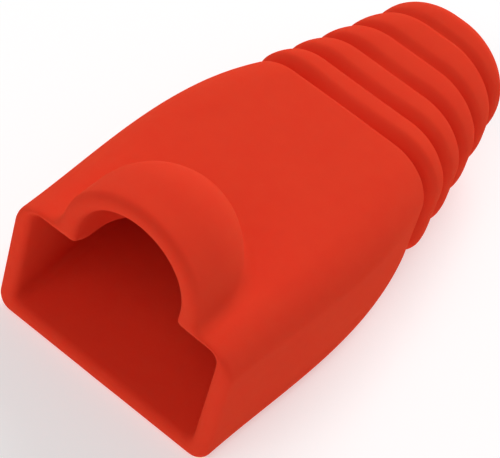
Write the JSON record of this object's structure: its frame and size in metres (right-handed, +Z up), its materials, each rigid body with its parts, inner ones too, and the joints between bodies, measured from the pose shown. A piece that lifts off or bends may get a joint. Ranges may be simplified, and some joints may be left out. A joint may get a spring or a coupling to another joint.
{
  "type": "rj45 strain relief boot",
  "caption": "Soft moulded boot that slips over a modular data plug, with a hollow hood over the latch and a ribbed tapering tail that grips the cable.",
  "frame": {"origin": "on the flat base, under the middle of the boot's width and length", "axes": "+Z up, +Y along the boot from the plug's mouth to the cable's exit, +X to the right seen from the mouth"},
  "size_m": [0.0146, 0.0288, 0.013],
  "materials": {
    "boot": "satin"
  },
  "bodies": {
    "root": {"boot": "boot"}
  },
  "joints": []
}
